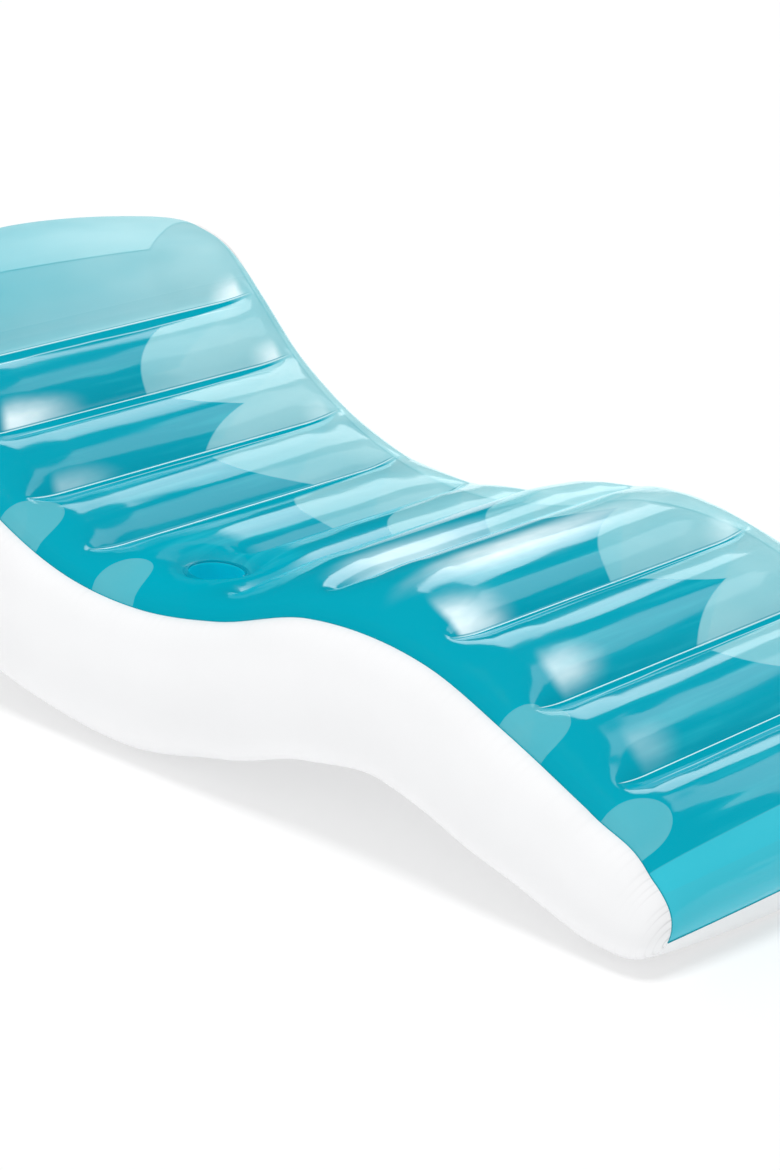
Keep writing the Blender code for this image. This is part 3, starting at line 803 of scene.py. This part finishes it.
def makeTopFilm():
    low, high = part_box("cup_rim")
    centre = np.array([(low.x + high.x) / 2, (low.y + high.y) / 2, low.z])
    sleeveLow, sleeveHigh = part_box("cup_sleeve")
    radius = (sleeveHigh.x - sleeveLow.x) / 2 + film["cupHoleGap"]
    points, keep = roundHole(topPoints, centre, radius, np.eye(3)[:2])
    mesh = sheetMesh("topFilm", points, topChart, keep)
    nearest = np.argmin(np.linalg.norm(topPoints - centre, axis=-1))
    look = makeTopLook(topLengths, topChart.reshape(-1, 2)[nearest])
    return place("topFilm", mesh, look, "chair", "tinted_film", ["top_film"], 1.0)


def makeBottomFilm():
    centre, outward, collar = valvePlane()
    axes = np.array([[0, 1.0, 0], np.cross(outward, [0, 1.0, 0])])
    points, keep = roundHole(bottomPoints, centre, collar + valve["holeGap"], axes)
    mesh = sheetMesh("bottomFilm", points, bottomChart, keep, flip=True)
    return place("bottomFilm", mesh, white, "chair", "white_film", ["bottom_film"], 1.0)


panel = dict(
    bulge=0.0545,
    fullDepth=0.17,
    gap=0.0005,
    pucker=0.0022,        # gathers along the seams
    puckerReach=0.013,
    puckerStep=0.0155,
    puckerWander=2.0,
    tightDepth=(0.19, 0.05),       # gathers grow as the panel narrows from the first depth to the second
    looseShare=0.12,
    overhang=0.0192,               # how far the panel hangs below its bottom seam
    overhangRise=(0.005, 0.09),    # where that seam is off the floor
    overhangDepth=(0.02, 0.12),
    overhangStart=(0.3, 0.8),      # shares of the way down
    lowest=0.0005,
)


def makeSidePanel(side):
    # half an ellipse from the top seam down to the bottom seam on each row, with fine
    # gathers along both seams that are deepest where the outline turns tightly
    column = -1 if side > 0 else 0
    upper, lower = topPoints[:, column], bottomPoints[:, column]
    middle = (upper[[0, -1]] + lower[[0, -1]]) / 2
    upper = np.vstack([middle[:1], upper[1:-1], middle[1:]])
    lower = np.vstack([middle[:1], lower[1:-1], middle[1:]])
    depth = np.linalg.norm(lower - upper, axis=1)
    bulge = panel["bulge"] * np.sin(math.pi / 2 * np.minimum(depth / panel["fullDepth"], 1))
    angle = np.linspace(0, math.pi, grid["panelSteps"] + 1)[None]
    down = (1 - np.cos(angle)) / 2
    aloft = smoothStep(*panel["overhangRise"], lower[:, 2]) * smoothStep(*panel["overhangDepth"], depth)
    hang = panel["overhang"] * aloft / np.maximum(depth, panel["overhangDepth"][0])
    hang = hang[:, None] * np.sin(angle) * smoothStep(*panel["overhangStart"], down)
    points = upper[:, None] + (lower - upper)[:, None] * (down + hang)[..., None]
    edge = np.concatenate([[0], np.cumsum(np.linalg.norm(np.diff(upper, axis=0), axis=1))])
    tight = smoothStep(*panel["tightDepth"], depth)[:, None]
    wobble = softNoise((rowCount, 2), (60, 1))[:, :1]
    turn = math.pi * edge[:, None] / panel["puckerStep"] + wobble * panel["puckerWander"]
    ripple = np.abs(np.sin(turn)) ** 0.7 - 0.6
    near = np.exp(-down * depth[:, None] / panel["puckerReach"])
    far = np.exp(-(1 - down) * depth[:, None] / panel["puckerReach"])
    height = (panel["looseShare"] + tight) * panel["pucker"] * np.sqrt(np.sin(angle))
    gather = ripple * (near + far) * height
    # how deep in a gather's valley a point lies, which the white film turns into painted shade
    crease = smoothStep(0.05, -0.55, ripple) * (near + far) * (0.1 + 0.9 * tight)
    swell = bulge[:, None] * np.sin(angle) + gather
    points[..., 1] = side * (section["halfWidth"] + panel["gap"] + swell)
    points[..., 2] = np.maximum(points[..., 2], panel["lowest"])
    chart = np.stack(np.broadcast_arrays(crease, down), -1)
    name, node = ("sidePanelLeft", "side_panel_left") if side > 0 else ("sidePanelRight", "side_panel_right")
    mesh = sheetMesh(name, points, chart, flip=side < 0, merge=True)
    return place(name, mesh, gathered, "chair", "white_film", [node], 1.0)


seam = dict(radius=0.0011, sides=8, outward=0.0002, endScale=1.3, askew=(0.11, 0.23, 0.97))


def tubeMesh(name, path, radius):
    # a ring carried along a path: each ring lies square to the path's own direction
    sides = seam["sides"]
    slope = unit(np.gradient(path, axis=0))
    side = unit(np.cross(slope, seam["askew"]))
    lift = np.cross(side, slope)
    angle = np.linspace(0, 2 * math.pi, sides + 1)[None, :, None]
    points = path[:, None] + radius * (np.cos(angle) * side[:, None] + np.sin(angle) * lift[:, None])
    ends = [np.repeat(path[i][None, None], sides + 1, 1) for i in (0, -1)]
    points = np.concatenate([ends[0], points, ends[1]])
    rows, columns = points.shape[:2]
    chart = np.stack(np.meshgrid(np.linspace(0, 1, columns), np.linspace(0, 1, rows)), -1)
    return sheetMesh(name, points, chart, merge=True)


def makeSeams():
    for side, sideName in ((1, "Left"), (-1, "Right")):
        column = -1 if side > 0 else 0
        for points, edgeName in ((topPoints, "Top"), (bottomPoints, "Bottom")):
            path = points[:, column] + np.array([0, side * seam["outward"], 0])
            path[:, 2] = np.maximum(path[:, 2], seam["radius"])
            look = seamFilm if edgeName == "Top" else white
            slot = "tinted_film" if edgeName == "Top" else "white_film"
            name = "seam" + edgeName + sideName
            place(name, tubeMesh(name, path, seam["radius"]), look, "chair", slot)
    for row, name in ((0, "seamHead"), (-1, "seamToe")):
        path = (topPoints[row] + bottomPoints[row]) / 2
        mesh = tubeMesh(name, path, seam["radius"] * seam["endScale"])
        place(name, mesh, seamFilm, "chair", "tinted_film")


baffle = dict(inward=0.030, inwardPower=0.6, belly=0.004, waves=4, inset=0.0008, steps=(60, 18))


def makeBaffle(weld, name):
    # a sheet from weld to weld, whose free ends are drawn in and whose middle bellies a little
    right = section["cupWeldEnd"] if weld == section["cupWeld"] else section["weldHalf"]
    top, bottom = weldTops[weld], weldBottoms[weld]
    reach = np.linspace(0, 1, baffle["steps"][0])[None]
    down = np.linspace(0, 1, baffle["steps"][1])[:, None]
    draw = baffle["inward"] * np.sin(math.pi * down) ** baffle["inwardPower"]
    y = (-right + draw) * (1 - reach) + (section["weldHalf"] - draw) * reach
    belly = baffle["belly"] * np.sin(math.pi * down) * np.sin(baffle["waves"] * math.pi * reach + weld)
    span = baffle["inset"] + down * (1 - 2 * baffle["inset"])
    points = np.empty(y.shape + (3,))
    slope = weldSlopes[weld]
    points[..., 0] = top[0] + (bottom - top)[0] * span + slope[0] * belly
    points[..., 1] = y
    points[..., 2] = top[1] + (bottom - top)[1] * span + slope[1] * belly
    chart = np.stack(np.broadcast_arrays(reach, down), -1)
    number = name.split("_")[1]
    mesh = sheetMesh("baffle" + number, points, chart)
    return place("baffle" + number, mesh, clear, "chair", "clear_film", [name])


cup = dict(
    wall=0.0004,
    drawIn=0.0016,
    gathers=22,
    broadGathers=9,
    gatherHeight=0.0005,
    rings=96,
    steps=dict(sleeve=26, rim=28, base=20),
    rimRidges=3,
    rimLow=0.45,
    rimEdge=(12, 0.15),   # how steeply the rim's edges rise, and from what share
    bead=0.0014,
    beadShare=0.14,
)


def turnedSheet(name, profile, centre, rings, ripple=None):
    # a profile of (radius, height) carried round a circle, with a ripple on its radius
    profile = np.asarray(profile, float)
    angle = np.linspace(0, 2 * math.pi, rings + 1)[None]
    radius = profile[:, :1] * np.ones_like(angle)
    if ripple is not None:
        radius = radius + ripple(np.linspace(0, 1, len(profile))[:, None], angle)
    points = np.empty(radius.shape + (3,))
    points[..., 0] = centre[0] + radius * np.cos(angle)
    points[..., 1] = centre[1] + radius * np.sin(angle)
    points[..., 2] = centre[2] + profile[:, 1:]
    chart = np.stack(np.broadcast_arrays(angle, np.linspace(0, 1, len(profile))[:, None]), -1)
    return sheetMesh(name, points, chart, merge=True)


def makeCup():
    low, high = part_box("cup_sleeve")
    centre = [(low.x + high.x) / 2, (low.y + high.y) / 2, 0]
    outer = (high.x - low.x) / 2
    inner = outer - cup["wall"]
    t = np.linspace(0, 1, cup["steps"]["sleeve"])
    inward = cup["drawIn"] * np.sin(math.pi * t) ** 0.7
    down = np.stack([inner - inward, high.z - t * (high.z - low.z)], -1)
    upAgain = np.stack([outer - inward, high.z - t * (high.z - low.z)], -1)[::-1]
    profile = np.vstack([down, upAgain, down[:1]])

    def gathers(share, angle):
        fold = np.sin(angle * cup["gathers"]) + 0.6 * np.sin(angle * cup["broadGathers"] + 1)
        return fold * cup["gatherHeight"] * np.abs(np.sin(2 * math.pi * share)) ** 1.5

    mesh = turnedSheet("cupSleeve", profile, centre, cup["rings"], gathers)
    place("cupSleeve", mesh, cupFilm, "chair", "cup_film", ["cup_sleeve"])
    low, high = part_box("cup_rim")
    width, height = (high.x - low.x) / 2 - inner, high.z - low.z
    t = np.linspace(0, 1, cup["steps"]["rim"])
    ridge = 0.5 + 0.5 * np.cos(t * 2 * math.pi * cup["rimRidges"])
    steep, least = cup["rimEdge"]
    rise = (cup["rimLow"] + (1 - cup["rimLow"]) * ridge) * np.minimum(1, np.minimum(t, 1 - t) * steep + least)
    top = low.z + height * rise
    top = top + cup["bead"] * np.sqrt(np.maximum(0, 1 - (t / cup["beadShare"] - 1) ** 2))
    profile = np.stack([inner + width * t, top], -1)
    under = np.stack([inner + width * t[::-1], np.full_like(t, low.z)], -1)
    profile = np.vstack([profile, under, profile[:1]])
    mesh = turnedSheet("cupRim", profile, centre, cup["rings"])
    place("cupRim", mesh, rimFilm, "chair", "cup_film", ["cup_rim"])
    low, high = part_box("cup_base")
    t = np.linspace(0, 1, cup["steps"]["base"])
    top = np.stack([outer * t, np.full_like(t, high.z)], -1)
    profile = np.vstack([top, np.stack([outer * t[::-1], np.full_like(t, low.z)], -1)])
    mesh = turnedSheet("cupBase", profile, centre, cup["rings"])
    place("cupBase", mesh, cupFilm, "chair", "cup_film", ["cup_base"])


makeTopFilm()
makeBottomFilm()
for side in (-1, 1):
    makeSidePanel(side)
makeSeams()
for weld, name in enumerate(baffleNames):
    makeBaffle(weld, name)
makeCup()
for name in ("valve_base", "valve_stem", "valve_plug", "valve_flap"):
    frame["nodes"][name].data.materials.clear()
    frame["nodes"][name].data.materials.append(valvePlastic)
print("pieces made")

# Directions are degrees round from +X and up from the floor, seen from the chair
studio = dict(
    floorSize=60.0,
    floorColour=(0.62, 0.62, 0.62),
    floorGlow=0.36,
    world=0.60,
    backdrop=1.0,
    mirrorHorizon=0.8,    # what glossy rays see at the horizon, and above its soft edge
    mirrorSky=0.01,
    mirrorEdge=(0.0, 4.0),
    boxDistance=12.0,
    sun=dict(azimuth=270, elevation=82, spread=22, power=1.25),
    frontSun=dict(azimuth=265, elevation=40, spread=60, power=0.3),
    backBox=dict(azimuth=117, elevation=37, width=4.0, height=3.9, power=145.0),
    sideBox=dict(azimuth=74, elevation=41, width=5.0, height=3.0, power=66.0),
)


def aimedLamp(name, kind, box):
    # a lamp far off in a given direction, looking at the chair
    azimuth, elevation = math.radians(box["azimuth"]), math.radians(box["elevation"])
    level = math.cos(elevation)
    back = np.array([level * math.cos(azimuth), level * math.sin(azimuth), math.sin(elevation)])
    light = bpy.data.lights.new(name, kind)
    light.energy = box["power"]
    lamp = bpy.data.objects.new(name, light)
    bpy.context.scene.collection.objects.link(lamp)
    right = unit(np.cross([0, 0, 1.0], back))
    lamp.matrix_world = Matrix(np.column_stack([right, np.cross(back, right), back]).tolist()).to_4x4()
    lamp.location = back * studio["boxDistance"]
    lamp.visible_camera = False
    return lamp


def softbox(name, box):
    # shows only in reflections
    lamp = aimedLamp(name, "AREA", box)
    lamp.data.shape = "RECTANGLE"
    lamp.data.size, lamp.data.size_y = box["width"], box["height"]
    lamp.visible_diffuse = False


def softSun(name, box):
    # casts the pale shadow, and shows in no reflection
    lamp = aimedLamp(name, "SUN", box)
    lamp.data.angle = math.radians(box["spread"])
    lamp.visible_glossy = False


def makeFloor():
    # partly glowing, so that the shadow on it stays pale
    bpy.ops.mesh.primitive_plane_add(size=studio["floorSize"])
    floor = bpy.context.object
    floor.name = "floor"
    look = Look("floorLook", studio["floorColour"], Roughness=1.0, Specular_IOR_Level=0.0)
    look.shader.inputs["Emission Color"].default_value = (1, 1, 1, 1)
    look.shader.inputs["Emission Strength"].default_value = studio["floorGlow"]
    floor.data.materials.append(look.material)


def makeWorld():
    # white all round for the camera and paler for the light; glossy rays see a bright horizon
    # and a dark sky instead
    world = bpy.data.worlds.new("studio")
    bpy.context.scene.world = world
    world.use_nodes = True
    tree = world.node_tree
    background = tree.nodes["Background"]
    background.inputs["Color"].default_value = (1, 1, 1, 1)
    path = tree.nodes.new("ShaderNodeLightPath")
    coordinate = tree.nodes.new("ShaderNodeTexCoord")
    parts = tree.nodes.new("ShaderNodeSeparateXYZ")
    height = tree.nodes.new("ShaderNodeMapRange")
    height.interpolation_type = "SMOOTHSTEP"
    edge = [math.sin(math.radians(degrees)) for degrees in studio["mirrorEdge"]]
    for index, value in enumerate((*edge, studio["mirrorHorizon"], studio["mirrorSky"])):
        height.inputs[index + 1].default_value = value
    choose = tree.nodes.new("ShaderNodeMix")
    tree.links.new(coordinate.outputs["Generated"], parts.inputs[0])
    tree.links.new(parts.outputs[2], height.inputs[0])
    tree.links.new(path.outputs["Is Glossy Ray"], choose.inputs[0])
    choose.inputs[2].default_value = studio["world"]
    tree.links.new(height.outputs[0], choose.inputs[3])
    backdrop = tree.nodes.new("ShaderNodeMix")
    tree.links.new(path.outputs["Is Camera Ray"], backdrop.inputs[0])
    tree.links.new(choose.outputs[0], backdrop.inputs[2])
    backdrop.inputs[3].default_value = studio["backdrop"]
    tree.links.new(backdrop.outputs[0], background.inputs["Strength"])


viewpoint = dict(
    place=(3.3687, -4.2103, 2.2161),
    azimuth=math.radians(38.282),
    elevation=math.radians(20.304),
    roll=math.radians(4.592),
    lens=106.29,
    sensorWidth=36.0,
)


def makeCamera():
    data = bpy.data.cameras.new("camera")
    data.lens = viewpoint["lens"]
    data.sensor_width = viewpoint["sensorWidth"]
    camera = bpy.data.objects.new("camera", data)
    bpy.context.scene.collection.objects.link(camera)
    a, e, r = viewpoint["azimuth"], viewpoint["elevation"], viewpoint["roll"]
    back = np.array([math.sin(a) * math.cos(e), -math.cos(a) * math.cos(e), math.sin(e)])
    level = np.array([math.cos(a), math.sin(a), 0])
    upright = np.cross(back, level)
    right = level * math.cos(r) + upright * math.sin(r)
    up = np.cross(back, right)
    camera.matrix_world = Matrix(np.column_stack([right, up, back]).tolist()).to_4x4()
    camera.location = viewpoint["place"]
    bpy.context.scene.camera = camera


makeFloor()
makeWorld()
softSun("sun", studio["sun"])
softSun("frontSun", studio["frontSun"])
softbox("backBox", studio["backBox"])
softbox("sideBox", studio["sideBox"])
makeCamera()
bpy.context.scene.view_settings.view_transform = "Standard"
print("studio made")
